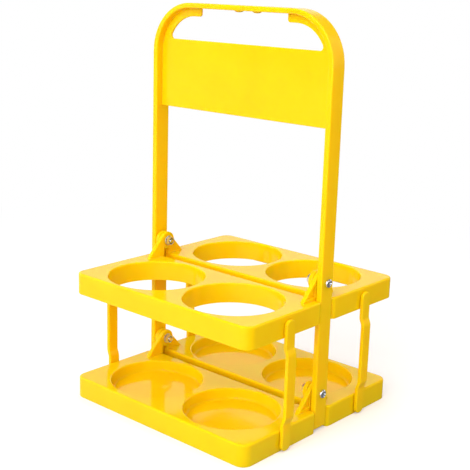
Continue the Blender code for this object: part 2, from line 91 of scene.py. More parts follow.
FINGER_STOP_PITCH = 0.0200
FINGER_STOP_WALL = 0.0030
LINK_WIDTH = 0.0108
LINK_THICKNESS = 0.0032
LINK_BOW = 0.0022
LINK_END = 0.0072
LINK_END_CORNER = 0.0048
LINK_FLAT = 0.0165
LINK_BEND = 0.0055
LINK_EDGE = 0.0007
LINK_Y = 0.0520
LINK_PIN_LIFT = 0.0080
LINK_PIN_RADIUS = 0.0026
LINK_PIN_HEAD = 0.0033
LINK_PIN_HEAD_LENGTH = 0.0018
LINK_PIN_TIP = 0.0021
BOLT_RADIUS = 0.0020
BOLT_HEAD_RADIUS = 0.0038
BOLT_HEAD_HEIGHT = 0.0026
BOLT_HEAD_CORNER = 0.0018
BOLT_TIP_CHAMFER = 0.0005
BOLT_TAIL = 0.0008
CROSS_LENGTH = 0.0042
CROSS_WIDTH = 0.0010
CROSS_DEPTH = 0.0016
NUT_FLATS = 0.0070
NUT_HEIGHT = 0.0032
NUT_CHAMFER = 0.0004
NUT_CHAMFER_ANGLE = math.radians(30)
WASHER_RADIUS = 0.0045
WASHER_THICKNESS = 0.0008
TOUCH = 0.0003
SIDE_PLAY = 0.0005
BORE_PLAY = 0.0003
FOLD_CLEARANCE = 0.0025

# Finer forms that only the dressed pieces have
FOOT_EDGE = 0.0005
EAR_EDGE = 0.0006
PANEL_EDGE = 0.0005
LINK_BEND_RADIUS = 0.0060
THREAD_PITCH = 0.0007
THREAD_DEPTH = 0.0003
THREAD_LENGTH = 0.0060
WASHER_EDGE = 0.00012
PIN_SLOT = 0.0008
PIN_SLOT_DEPTH = 0.0030
CROSS_TAPER = 0.62

# Facets
CUP_STEPS = 144
ROUND_STEPS = 64
PIN_STEPS = 40
EDGE_STEPS = 4
TRAY_EDGE_STEPS = 6
BAND_EDGE_STEPS = 5
FINE_EDGE_STEPS = 3
THREAD_STEPS = 8                # rings of points in one turn of the thread
NUT_SIDES = 6
FLOOR_STEPS = 96
ARC_STEP = math.radians(6)
SHARP_ABOVE = math.radians(35)
SMOOTH_BELOW = math.radians(38)
FLAT_WITHIN = math.radians(0.1)
WELD_WITHIN = 1e-6
TURN_WELD = 1e-5

# Places
TIER_PITCH = TRAY_REACH - MID_GAP / 2 + FOLD_CLEARANCE
LOWER_PIVOT_Z = TRAY_DEPTH + PIVOT_RISE
UPPER_PIVOT_Z = LOWER_PIVOT_Z + TIER_PITCH
LEG_OUTER_X = TRAY_WIDTH / 2 - FRAME_INSET
LEG_INNER_X = LEG_OUTER_X - BAND_THICKNESS
LEG_FACE_Y = BAND_DEPTH / 2
NOTCH_X = LEG_INNER_X - TOUCH
NOTCH_Y = LEG_FACE_Y + TOUCH
OUTER_EAR_X = LEG_INNER_X - SIDE_PLAY - EAR_WALL / 2
INNER_EAR_X = OUTER_EAR_X - EAR_WALL - SIDE_PLAY
WASHER_X = INNER_EAR_X - EAR_WALL / 2 - TOUCH
NUT_X = WASHER_X - WASHER_THICKNESS - TOUCH
BOLT_SEAT_X = LEG_OUTER_X + TOUCH
BOLT_LENGTH = BOLT_SEAT_X - NUT_X + NUT_HEIGHT + BOLT_TAIL
LINK_INNER_X = TRAY_WIDTH / 2 + SIDE_PLAY

# Camera, fitted to the photograph
CAMERA_AZIMUTH = math.radians(41.233)
CAMERA_ELEVATION = math.radians(14.442)
CAMERA_ROLL = math.radians(1.717)
CAMERA_DISTANCE = 0.83251
CAMERA_TARGET = Vector((0.02216, -0.02805, 0.16141))
CAMERA_LENS = 75.71
SENSOR = 36.0

ALONG_X = Matrix(((0, 0, 1, 0), (1, 0, 0, 0), (0, 1, 0, 0), (0, 0, 0, 1)))
ALONG_Y = Matrix(((1, 0, 0, 0), (0, 0, -1, 0), (0, 1, 0, 0), (0, 0, 0, 1)))
ALONG_Z = Matrix.Identity(4)
HALF_TURN = Matrix.Rotation(math.pi, 4, "Z")


# Outlines

def rounded(corners):
    """Closed outline whose corners, given as (u, v, radius), become arcs."""
    outline = []
    for index, (u, v, radius) in enumerate(corners):
        here = Vector((u, v))
        if radius == 0:
            outline.append(here)
            continue
        back = (Vector(corners[index - 1][:2]) - here).normalized()
        ahead = (Vector(corners[(index + 1) % len(corners)][:2]) - here).normalized()
        turn = math.pi - back.angle(ahead)
        side = math.copysign(1.0, ahead.cross(back))
        centre = here + (back + ahead).normalized() * radius / math.cos(turn / 2)
        arm = here + back * radius * math.tan(turn / 2) - centre
        steps = max(1, math.ceil(turn / ARC_STEP))
        for step in range(steps + 1):
            outline.append(centre + Matrix.Rotation(side * turn * step / steps, 2) @ arm)
    return outline


def arc(centre, radius, start, end, step=ARC_STEP):
    """Points from the start angle to the end angle, both included."""
    steps = max(1, math.ceil(abs(end - start) / step))
    angles = [start + (end - start) * index / steps for index in range(steps + 1)]
    return [Vector(centre) + radius * Vector((math.cos(a), math.sin(a))) for a in angles]


def circle(centre, radius, steps):
    return arc(centre, radius, 0.0, math.tau, math.tau / steps)[:-1]


# Solids

def scratch(name, data):
    item = bpy.data.objects.new(name, data)
    bpy.context.scene.collection.objects.link(item)
    return item


def baked_mesh(item):
    """The object's evaluated mesh, welded, with outward normals."""
    bpy.context.view_layer.update()
    evaluated = item.evaluated_get(bpy.context.evaluated_depsgraph_get())
    mesh = bpy.data.meshes.new_from_object(evaluated)
    form = bmesh.new()
    form.from_mesh(mesh)
    bmesh.ops.remove_doubles(form, verts=form.verts, dist=WELD_WITHIN)
    bmesh.ops.recalc_face_normals(form, faces=form.faces)
    form.to_mesh(mesh)
    form.free()
    return mesh


def prism(name, outlines, low, high, direction=ALONG_Z):
    """Flat outline, with any further outlines as holes, extruded from low to high."""
    curve = bpy.data.curves.new(name, "CURVE")
    curve.dimensions = "2D"
    curve.fill_mode = "BOTH"
    curve.extrude = (high - low) / 2
    for outline in outlines:
        spline = curve.splines.new("POLY")
        spline.points.add(len(outline) - 1)
        for point, (u, v) in zip(spline.points, outline):
            point.co = (u, v, 0.0, 1.0)
        spline.use_cyclic_u = True
    drawing = scratch(name, curve)
    mesh = baked_mesh(drawing)
    bpy.data.objects.remove(drawing)
    form = bmesh.new()
    form.from_mesh(mesh)
    bmesh.ops.dissolve_limit(form, angle_limit=FLAT_WITHIN, verts=form.verts,
                             edges=form.edges)
    bmesh.ops.translate(form, verts=form.verts, vec=(0, 0, (low + high) / 2))
    bmesh.ops.transform(form, verts=form.verts, matrix=direction)
    form.to_mesh(mesh)
    form.free()
    return scratch(name, mesh)


def block(name, low, high, taper=1.0):
    """Box between two corners, whose lower end is narrowed by the taper."""
    mesh = bpy.data.meshes.new(name)
    form = bmesh.new()
    bmesh.ops.create_cube(form, size=1.0)
    size = [b - a for a, b in zip(low, high)]
    middle = [(a + b) / 2 for a, b in zip(low, high)]
    foot = [vert for vert in form.verts if vert.co.z < 0]
    bmesh.ops.scale(form, verts=foot, vec=(taper, taper, 1.0))
    bmesh.ops.scale(form, verts=form.verts, vec=size)
    bmesh.ops.translate(form, verts=form.verts, vec=middle)
    form.to_mesh(mesh)
    form.free()
    return scratch(name, mesh)


def turned(name, profile, steps, closed=False):
    """Profile of (radius, height) points, listed from top to bottom, turned about Z."""
    mesh = bpy.data.meshes.new(name)
    edges = [(index, index + 1) for index in range(len(profile) - 1)]
    if closed:
        edges.append((len(profile) - 1, 0))
    mesh.from_pydata([(radius, 0.0, height) for radius, height in profile], edges, [])
    drawing = scratch(name, mesh)
    screw = drawing.modifiers.new("turn", "SCREW")
    screw.steps = screw.render_steps = steps
    screw.use_merge_vertices = True
    screw.merge_threshold = TURN_WELD
    solid = scratch(name, baked_mesh(drawing))
    bpy.data.objects.remove(drawing)
    return solid


def rod_along_x(name, radius, low_x, high_x, y, z, steps=ROUND_STEPS):
    return prism(name, [circle((y, z), radius, steps)], low_x, high_x, ALONG_X)


def combine(target, tools, operation="DIFFERENCE"):
    """Cut, join or intersect the target with each tool in turn, and keep the result."""
    for tool in tools:
        step = target.modifiers.new(tool.name, "BOOLEAN")
        step.operation = operation
        step.solver = "EXACT"
        step.object = tool
    target.data = baked_mesh(target)
    target.modifiers.clear()
    for tool in tools:
        bpy.data.objects.remove(tool)
    return target


def round_edges(target, width, chosen, steps=EDGE_STEPS):
    """Round the edges for which chosen(edge) is true."""
    form = bmesh.new()
    form.from_mesh(target.data)
    edges = [edge for edge in form.edges if chosen(edge)]
    bmesh.ops.bevel(form, geom=edges, offset=width, segments=steps, profile=0.5,
                    affect="EDGES", clamp_overlap=True)
    form.to_mesh(target.data)
    form.free()


def sharp(edge):
    return len(edge.link_faces) == 2 and edge.calc_face_angle() > SHARP_ABOVE


# Half trays

def tray_outline(inset):
    side = TRAY_WIDTH / 2 - inset
    outer = -TRAY_REACH + inset
    beside_leg = -NOTCH_Y - inset
    hinge = -MID_GAP / 2 - inset
    notch = NOTCH_X - inset
    big, small = TRAY_CORNER - inset, HINGE_CORNER - inset
    return rounded([(-side, outer, big), (side, outer, big), (side, beside_leg, small),
                    (notch, beside_leg, 0), (notch, hinge, 0), (-notch, hinge, 0),
                    (-notch, beside_leg, 0), (-side, beside_leg, small)])


def tray_shell(cup_radius, cup_y, collar_lift):
    """Top plate, skirt and collars of a front half tray, open from below."""
    shell = prism("shell", [tray_outline(0.0)], 0.0, TRAY_DEPTH)
    rim, foot = TRAY_DEPTH - TRAY_EDGE / 2, FOOT_EDGE / 2
    round_edges(shell, TRAY_EDGE, lambda edge: sharp(edge)
                and all(vert.co.z > rim for vert in edge.verts), TRAY_EDGE_STEPS)
    round_edges(shell, FOOT_EDGE, lambda edge: sharp(edge)
                and all(vert.co.z < foot for vert in edge.verts), FINE_EDGE_STEPS)
    below = -TRAY_DEPTH
    hollow = prism("hollow", [tray_outline(SKIRT_WALL)], below, TRAY_DEPTH - TOP_PLATE)
    collars = [prism("collar", [circle((x, -cup_y), cup_radius + COLLAR_WALL, CUP_STEPS)],
                     2 * below, TRAY_DEPTH) for x in (-CUP_PITCH / 2, CUP_PITCH / 2)]
    tools = [combine(hollow, collars)]
    if collar_lift:
        tools.append(prism("collar_trim", [tray_outline(SKIRT_WALL)], below, collar_lift))
    return combine(shell, tools)


def tray_ribs(cup_radius, cup_y):
    """Middle rib between the collars, and two ribs from each collar to the skirt's side."""
    low, high = TRAY_DEPTH - TOP_PLATE - RIB_DEPTH, TRAY_DEPTH - TOP_PLATE / 2
    half = RIB_WALL / 2
    bite = SKIRT_WALL / 2
    ribs = [block("rib", (-half, -TRAY_REACH + bite, low), (half, -MID_GAP / 2 - bite, high))]
    for y in (-cup_y - RIB_OFFSET, -cup_y + RIB_OFFSET):
        collar = CUP_PITCH / 2 + math.sqrt(cup_radius ** 2 - RIB_OFFSET ** 2) + COLLAR_WALL / 2
        for low_x, high_x in ((collar, TRAY_WIDTH / 2 - bite), (-TRAY_WIDTH / 2 + bite, -collar)):
            ribs.append(block("rib", (low_x, y - half, low), (high_x, y + half, high)))
    return ribs


def ear(middle_x, outwards):
    """Triangular hinge ear, recessed on the side that outwards (+1 or -1) points to."""
    pivot = Vector((0.0, LOWER_PIVOT_Z))
    foot = Vector((-EAR_FOOT, TRAY_DEPTH))
    back = -MID_GAP / 2 - EAR_SET_BACK
    slope = pivot - foot
    slant = math.atan2(slope.y, slope.x) + math.asin(EAR_RADIUS / slope.length)
    rest = -math.acos(back / EAR_RADIUS)
    sunk = TRAY_DEPTH - EAR_SINK
    outline = [Vector((back, sunk)), *arc(pivot, EAR_RADIUS, rest, slant + math.pi / 2),
               foot, Vector((foot.x, sunk))]
    low, high = middle_x - EAR_WALL / 2, middle_x + EAR_WALL / 2
    solid = prism("ear", [outline], low, high, ALONG_X)
    rim_foot = TRAY_DEPTH + EAR_RIM
    front = foot.x + EAR_RIM / math.sin(slant) + EAR_RIM / math.tan(slant)
    rear = back - EAR_RIM
    apex = rim_foot + (rear - front) * math.tan(slant)
    face = middle_x + outwards * EAR_WALL / 2
    floor = face - outwards * (EAR_WALL - EAR_WEB)
    span = sorted((floor, face + outwards * EAR_WALL))
    recess = prism("recess", [[(front, rim_foot), (rear, rim_foot), (rear, apex)]], *span, ALONG_X)
    boss = rod_along_x("boss", EAR_RADIUS, span[0] - EAR_WALL, span[1] + EAR_WALL, *pivot)
    combine(recess, [boss])
    combine(solid, [recess])
    round_edges(solid, EAR_EDGE, lambda edge: sharp(edge)
                and min(vert.co.z for vert in edge.verts) > TRAY_DEPTH - EAR_SINK / 2,
                FINE_EDGE_STEPS)
    return solid


def cup_cutter(x, cup_radius, cup_y, floor):
    """Plug that cuts a cup hole or, down to a floor, a cup recess."""
    top = TRAY_DEPTH
    bottom = floor if floor else -CUP_LIP
    foot = cup_radius - CUP_DRAFT
    fine = 3 * ARC_STEP
    lip = arc((cup_radius + CUP_LIP, top - CUP_LIP), CUP_LIP, math.pi / 2, math.pi, fine)
    profile = [(0.0, top + CUP_LIP), (cup_radius + CUP_LIP, top + CUP_LIP), *lip]
    if floor:
        profile += arc((foot - RECESS_FILLET, bottom + RECESS_FILLET), RECESS_FILLET,
                       0.0, -math.pi / 2, fine)
    else:
        profile.append((foot, bottom))
    profile.append((0.0, bottom))
    plug = turned("cup", profile, CUP_STEPS)
    plug.location = (x, -cup_y, 0.0)
    return plug


def half_tray(cup_radius, cup_y, floor, collar_lift):
    """One front half tray, with its origin moved to the pivot's axis."""
    tray = tray_shell(cup_radius, cup_y, collar_lift)
    joined = tray_ribs(cup_radius, cup_y)
    joined += [ear(OUTER_EAR_X, 1), ear(-INNER_EAR_X, -1)]
    combine(tray, joined, "UNION")
    side = TRAY_WIDTH / 2
    holes = [cup_cutter(x, cup_radius, cup_y, floor) for x in (-CUP_PITCH / 2, CUP_PITCH / 2)]
    for sign in (-1, 1):
        span = sorted((sign * (side - 2 * SKIRT_WALL), sign * (side + SKIRT_WALL)))
        holes.append(rod_along_x("pin_hole", LINK_PIN_RADIUS + BORE_PLAY, *span, -LINK_Y,
                                 LINK_PIN_LIFT, PIN_STEPS))
    holes.append(rod_along_x("bolt_hole", BOLT_RADIUS + BORE_PLAY, -side, side, 0.0,
                             LOWER_PIVOT_Z))
    combine(tray, holes)
    tray.data.transform(Matrix.Translation((0.0, 0.0, -LOWER_PIVOT_Z)))
    return tray


# Carrying frame

def band_outline():
    outer, inner = LEG_OUTER_X, LEG_INNER_X
    end = LEG_END_CORNER
    bend = FRAME_CORNER - BAND_THICKNESS
    grip = FRAME_HEIGHT - GRIP_THICKNESS
    return rounded([(-outer, LEG_LIFT, end), (-outer, FRAME_HEIGHT, FRAME_CORNER),
                    (outer, FRAME_HEIGHT, FRAME_CORNER), (outer, LEG_LIFT, end),
                    (inner, LEG_LIFT, end), (inner, grip, bend),
                    (-inner, grip, bend), (-inner, LEG_LIFT, end)][::-1])


def panel_outline():
    side = (LEG_OUTER_X + LEG_INNER_X) / 2
    top = FRAME_HEIGHT - GRIP_THICKNESS / 2
    corner = FRAME_CORNER - BAND_THICKNESS / 2
    return rounded([(-side, PANEL_FOOT, 0), (side, PANEL_FOOT, 0), (side, top, corner),
                    (-side, top, corner)])


def hand_hole_outline():
    """Hand hole with its foot along the panel, and the webs' ends beside the grip."""
    bend = FRAME_CORNER - BAND_THICKNESS
    middle = Vector((LEG_INNER_X - bend, FRAME_HEIGHT - GRIP_THICKNESS - bend))
    radius = bend - WEB_WIDTH
    corner, tip = HAND_HOLE_CORNER, WEB_END_CORNER
    rise = PANEL_TOP + corner - middle.y
    reach = math.sqrt((radius - corner) ** 2 - rise ** 2)
    touch = math.atan2(rise, reach)
    right = arc((middle.x + reach, PANEL_TOP + corner), corner, -math.pi / 2, touch)
    right += arc(middle, radius, touch, math.pi / 2)[1:]
    right += arc((WEB_END + tip, middle.y + radius + tip), tip, -math.pi / 2, -math.pi)
    right.append(Vector((WEB_END, FRAME_HEIGHT)))
    return right + [Vector((-point.x, point.y)) for point in reversed(right)]


def finger_stops():
    """Two low bumps under the grip, at the frame's rear edge."""
    grip = FRAME_HEIGHT - GRIP_THICKNESS
    chord = FINGER_STOP_WIDTH / 2
    radius = (chord ** 2 + FINGER_STOP_DROP ** 2) / (2 * FINGER_STOP_DROP)
    reach = math.asin(chord / radius)
    rear = BAND_DEPTH / 2 - BAND_EDGE
    stops = []
    for x in (-FINGER_STOP_PITCH / 2, FINGER_STOP_PITCH / 2):
        middle = (x, grip - FINGER_STOP_DROP + radius)
        bump = arc(middle, radius, -math.pi / 2 - reach, -math.pi / 2 + reach)
        root = grip + GRIP_THICKNESS / 3
        outline = [(x - chord, root), *bump, (x + chord, root)]
        stops.append(prism("finger_stop", [outline], -rear, -rear + FINGER_STOP_WALL, ALONG_Y))
    return stops


def on_one_face(edge):
    """Whether the edge is sharp and lies in the front or in the rear face."""
    return sharp(edge) and edge.verts[0].co.y * edge.verts[1].co.y > 0


def handle_frame():
    body = prism("frame", [band_outline()], -BAND_DEPTH / 2, BAND_DEPTH / 2, ALONG_Y)
    round_edges(body, BAND_EDGE, on_one_face, BAND_EDGE_STEPS)
    half = PANEL_THICKNESS / 2
    panel = prism("panel", [panel_outline()], -half, half, ALONG_Y)
    combine(panel, [prism("hand_hole", [hand_hole_outline()], -BAND_DEPTH, BAND_DEPTH, ALONG_Y)])
    round_edges(panel, PANEL_EDGE, on_one_face, FINE_EDGE_STEPS)
    combine(body, [panel, *finger_stops()], "UNION")
    holes = [rod_along_x("bolt_hole", BOLT_RADIUS + BORE_PLAY, -TRAY_WIDTH, TRAY_WIDTH, 0.0, z)
             for z in (LOWER_PIVOT_Z, UPPER_PIVOT_Z)]
    return combine(body, holes)


# Side links

def side_link():
    """Strap with bent ends and two snap pins; its upper pin's axis is at the origin."""
    high, low = LINK_END, -TIER_PITCH - LINK_END
    top, foot = -LINK_FLAT, -TIER_PITCH + LINK_FLAT
    inside, outside = LINK_BEND_RADIUS, LINK_BEND_RADIUS + LINK_THICKNESS
    bends = [(0.0, high, 0), (0.0, top, outside), (LINK_BOW, top - LINK_BEND, inside),
             (LINK_BOW, foot + LINK_BEND, inside), (0.0, foot, outside), (0.0, low, 0)]
    back = [(x + LINK_THICKNESS, z, inside + outside - radius if radius else 0)
            for x, z, radius in reversed(bends)]
    half = LINK_WIDTH / 2
    strap = prism("strap", [rounded(bends + back)], -half, half, ALONG_Y)
    corner = LINK_END_CORNER
    ends = rounded([(-half, low, corner), (half, low, corner), (half, high, corner),
                    (-half, high, corner)])
    trim = prism("ends", [ends], -LINK_THICKNESS, LINK_BOW + 2 * LINK_THICKNESS, ALONG_X)
    combine(strap, [trim], "INTERSECT")
    round_edges(strap, LINK_EDGE, sharp)
    neck = -SKIRT_WALL - SIDE_PLAY - TOUCH
    combine(strap, [pin(neck, z) for z in (0.0, -TIER_PITCH)], "UNION")
    head = neck - LINK_PIN_HEAD_LENGTH
    combine(strap, [block("pin_slot", (head - TOUCH, -LINK_PIN_HEAD * 2, z - PIN_SLOT / 2),
                          (head + PIN_SLOT_DEPTH, LINK_PIN_HEAD * 2, z + PIN_SLOT / 2))
                    for z in (0.0, -TIER_PITCH)])
    strap.data.transform(Matrix.Translation((LINK_INNER_X, 0.0, 0.0)))
    return strap


def pin(neck, z):
    """Snap pin that points inwards along -X, as far as its head at the neck."""
    head = neck - LINK_PIN_HEAD_LENGTH
    root = LINK_THICKNESS / 2
    profile = [(0.0, root), (LINK_PIN_RADIUS, root), (LINK_PIN_RADIUS, neck),
               (LINK_PIN_HEAD, neck), (LINK_PIN_TIP, head), (0.0, head)]
    solid = turned("pin", profile, PIN_STEPS)
    solid.matrix_world = Matrix.Translation((0.0, 0.0, z)) @ Matrix.Rotation(math.pi / 2, 4, "Y")
    return solid


# Pivot fasteners

def bolt():
    """Pan-head bolt with a cross recess and a helical thread; z = 0 is the seat."""
    corner, chamfer, tip = BOLT_HEAD_CORNER, BOLT_TIP_CHAMFER, -BOLT_LENGTH
    middle = (BOLT_HEAD_RADIUS - corner, BOLT_HEAD_HEIGHT - corner)
    head = arc(middle, corner, math.pi / 2, 0.0, 2 * ARC_STEP)
    rows = [(point[0], point[1], 0.0) for point in head]
    rows += [(BOLT_HEAD_RADIUS, 0.0, 0.0), (BOLT_RADIUS, 0.0, 0.0)]
    start, end = tip + THREAD_LENGTH, tip
    count = round(THREAD_LENGTH / THREAD_PITCH * THREAD_STEPS)
    for index in range(count + 1):
        z = start + (end - start) * index / count
        fade = min(1.0, (start - z) / THREAD_PITCH)
        limit = BOLT_RADIUS - max(0.0, chamfer - (z - tip))
        rows.append((limit, z, fade))
    mesh = bpy.data.meshes.new("bolt")
    verts, faces = [], []
    for radius, z, cut in rows:
        for step in range(ROUND_STEPS):
            angle = math.tau * step / ROUND_STEPS
            phase = (z / THREAD_PITCH + step / ROUND_STEPS) % 1.0
            groove = THREAD_DEPTH * (1.0 - abs(2.0 * phase - 1.0)) * cut
            here = max(radius - groove, BOLT_RADIUS - THREAD_DEPTH) if cut else radius
            verts.append((here * math.cos(angle), here * math.sin(angle), z))
    for row in range(len(rows) - 1):
        for step in range(ROUND_STEPS):
            after = (step + 1) % ROUND_STEPS
            a, b = row * ROUND_STEPS, (row + 1) * ROUND_STEPS
            faces.append((a + step, b + step, b + after, a + after))
    faces.append(tuple(range(ROUND_STEPS)))
    last = (len(rows) - 1) * ROUND_STEPS
    faces.append(tuple(last + step for step in reversed(range(ROUND_STEPS))))
    mesh.from_pydata(verts, [], faces)
    solid = scratch("bolt", mesh)
    solid.data = baked_mesh(solid)
    floor, above = BOLT_HEAD_HEIGHT - CROSS_DEPTH, BOLT_HEAD_HEIGHT + CROSS_DEPTH
    long, wide = CROSS_LENGTH / 2, CROSS_WIDTH / 2
    spread = 2.0 - CROSS_TAPER
    slots = [block("slot", (-long * spread, -wide * spread, floor),
                   (long * spread, wide * spread, above), CROSS_TAPER / spread),
             block("slot", (-wide * spread, -long * spread, floor),
                   (wide * spread, long * spread, above), CROSS_TAPER / spread)]
    return combine(solid, slots)


def nut():
    """Chamfered hexagon nut; z = 0 is its seat on the washer."""
    corner = NUT_FLATS / 2 / math.cos(math.pi / NUT_SIDES)
    slope = math.tan(NUT_CHAMFER_ANGLE)
    solid = prism("nut", [circle((0.0, 0.0), corner, NUT_SIDES)], -NUT_HEIGHT, 0.0)
    peak, drop = (corner - NUT_CHAMFER) * slope, 2 * NUT_CHAMFER * slope
    rim = corner + NUT_CHAMFER
    cones = [(0.0, peak), (rim, -drop), (rim, drop - NUT_HEIGHT), (0.0, -NUT_HEIGHT - peak)]
    combine(solid, [turned("chamfer", cones, ROUND_STEPS)], "INTERSECT")
    bore = BOLT_RADIUS + BORE_PLAY
    mouth = bore + 2 * TOUCH
    profile = [(0.0, TOUCH), (mouth, TOUCH), (mouth, 0.0), (bore, -2 * TOUCH),
               (bore, 2 * TOUCH - NUT_HEIGHT), (mouth, -NUT_HEIGHT), (mouth, -NUT_HEIGHT - TOUCH),
               (0.0, -NUT_HEIGHT - TOUCH)]
    return combine(solid, [turned("bore", profile, ROUND_STEPS)])


def washer():
    """Flat washer with rounded rims; z = 0 is its face against the ear."""
    bore, rim, edge = BOLT_RADIUS + BORE_PLAY, WASHER_RADIUS, WASHER_EDGE
    foot = -WASHER_THICKNESS
    profile = [(bore + edge, 0.0), (rim - edge, 0.0), (rim, -edge), (rim, foot + edge),
               (rim - edge, foot), (bore + edge, foot), (bore, foot + edge), (bore, -edge)]
    return turned("washer", profile, ROUND_STEPS, closed=True)


# Materials. A noise's scale is in patches to the metre; roughness and colours are plain numbers.

DEEP_YELLOW = (0.985, 0.555, 0.002, 1.0)
PALE_YELLOW = (0.99, 0.605, 0.003, 1.0)
# Paler yellow, painted along rounded edges as a highlight.
PAINTED_HIGHLIGHT_YELLOW = (1.0, 0.76, 0.08, 1.0)
# Near-black painted shade for a nut's bore.
BORE_SHADE_BLACK = (0.03, 0.03, 0.03, 1.0)
PIGMENT_SCALE = 24.0
FLOW_STRETCH = (45.0, 70.0, 10.0)
FLOW_PALENESS = 0.25
# Painted edge highlight: its reach from the edge, its strength, and the bevel's turn over which it
# fades.
EDGE_REACH = 0.0009
PAINTED_HIGHLIGHT_STRENGTH = 0.22
EDGE_TURN = (0.80, 0.99)        # cosines of the bevel's turn, from pale to plain
HAIR_STRETCH = (700.0, 130.0, 500.0)
HAIR_DULLNESS = 0.05
HAIR_SHARE = (0.62, 0.72)
GLOSS_SCALE = 55.0
PEEL_SCALE, PEEL_STRENGTH, PEEL_HEIGHT = 700.0, 0.05, 0.00004
WAVE_SCALE, WAVE_STRENGTH, WAVE_HEIGHT = 60.0, 0.10, 0.00030
PLASTIC_IOR = 1.27
GLOW_WEIGHT = 0.75
GLOW_COLORS = (1.0, 0.60, 0.03)
GLOW_REACH = 0.006
COOL_TINT = (0.93, 0.97, 1.04)
WARM_TINT = (1.04, 1.00, 0.92)
TINT_SCALE = 700.0
DULLNESS_SCALE = 1400.0
PIT_SCALE, PIT_STRENGTH, PIT_DEPTH = 5200.0, 0.25, 0.00003
# How far from the bolt's axis the painted shade in a nut's bore reaches, and how wide its fade is.
BORE_SHADE_RADIUS = 0.0028
BORE_SHADE_FADE = 0.0002


class Nodes:
    """Short way to add nodes and links to a node tree."""

    def __init__(self, tree):
        self.tree = tree
        self.coords = tree.nodes.new("ShaderNodeTexCoord").outputs["Object"]

    def add(self, kind, settings=None, **inputs):
        node = self.tree.nodes.new("ShaderNode" + kind)
        for key, value in (settings or {}).items():
            setattr(node, key, value)
        for key, value in inputs.items():
            self.put(node.inputs[key.replace("_", " ")], value)
        return node

    def put(self, socket, value):
        if isinstance(value, bpy.types.NodeSocket):
            self.tree.links.new(value, socket)
        else:
            socket.default_value = value

    def math(self, operation, *values):
        node = self.add("Math", {"operation": operation})
        for socket, value in zip(node.inputs, values):
            self.put(socket, value)
        return node.outputs[0]

    def dot(self, first, second):
        node = self.add("VectorMath", {"operation": "DOT_PRODUCT"})
        self.put(node.inputs[0], first)
        self.put(node.inputs[1], second)
        return node.outputs["Value"]

    def noise(self, scale, detail=2.0, roughness=0.5, stretch=None):
        vector = self.coords
        if stretch:
            vector = self.add("Mapping", Vector=vector, Scale=stretch).outputs["Vector"]
        return self.add("TexNoise", Vector=vector, Scale=scale, Detail=detail,
                        Roughness=roughness).outputs["Fac"]

    def span(self, value, low, high, from_low=0.3, from_high=0.7):
        """Value in the from range, carried over to low to high and held there."""
        node = self.add("MapRange", Value=value)
        for socket, number in zip(node.inputs[1:5], (from_low, from_high, low, high)):
            self.put(socket, number)
        return node.outputs["Result"]

    def mix(self, factor, first, second):
        node = self.add("Mix", {"data_type": "RGBA"})
        for index, value in ((0, factor), (6, first), (7, second)):
            self.put(node.inputs[index], value)
        return node.outputs[2]

    def bump(self, height, strength, distance, normal=None):
        node = self.add("Bump", Height=height, Strength=strength, Distance=distance)
        if normal is not None:
            self.put(node.inputs["Normal"], normal)
        return node.outputs["Normal"]

    def rays(self):
        """1 for camera rays, and 1 for glossy and transmission rays."""
        path = self.add("LightPath").outputs
        mirrored = self.math("MAXIMUM", path["Is Glossy Ray"], path["Is Transmission Ray"])
        return path["Is Camera Ray"], mirrored


def new_material(name):
    mat = bpy.data.materials.new(name)
    mat.use_nodes = True
    n = Nodes(mat.node_tree)
    return mat, n, mat.node_tree.nodes["Principled BSDF"].inputs


def moulded_plastic(name, gloss):
    """Glossy dyed plastic: cloudy pigment, flow lines, a painted highlight along edges, orange
    peel, hairlines.
    """
    mat, n, shader = new_material(name)
    tone = n.mix(n.span(n.noise(PIGMENT_SCALE, 3.0), 0.0, 1.0), DEEP_YELLOW, PALE_YELLOW)
    flow = n.noise(1.0, 3.0, 0.6, FLOW_STRETCH)
    tone = n.mix(n.span(flow, 0.0, FLOW_PALENESS), tone, PALE_YELLOW)
    # Painted highlight: where the Bevel node finds a rounded edge, the colour turns towards a
    # paler yellow.
    bevel = n.add("Bevel", {"samples": 4}, Radius=EDGE_REACH).outputs["Normal"]
    turn = n.dot(bevel, n.add("NewGeometry").outputs["Normal"])
    tone = n.mix(n.span(turn, PAINTED_HIGHLIGHT_STRENGTH, 0.0, *EDGE_TURN), tone, PAINTED_HIGHLIGHT_YELLOW)
    hair = n.span(n.noise(1.0, 2.0, 0.5, HAIR_STRETCH), 0.0, HAIR_DULLNESS, *HAIR_SHARE)
    cloud = n.span(n.noise(GLOSS_SCALE, 2.0), gloss - 0.02, gloss + 0.03)
    peel = n.bump(n.noise(PEEL_SCALE, 1.0), PEEL_STRENGTH, PEEL_HEIGHT)
    wave = n.bump(n.noise(WAVE_SCALE, 1.0), WAVE_STRENGTH, WAVE_HEIGHT, peel)
    n.put(shader["Base Color"], tone)
    n.put(shader["Roughness"], n.math("ADD", cloud, hair))
    n.put(shader["Normal"], wave)
    shader["IOR"].default_value = PLASTIC_IOR
    shader["Subsurface Weight"].default_value = GLOW_WEIGHT
    shader["Subsurface Radius"].default_value = GLOW_COLORS
    shader["Subsurface Scale"].default_value = GLOW_REACH
    return mat


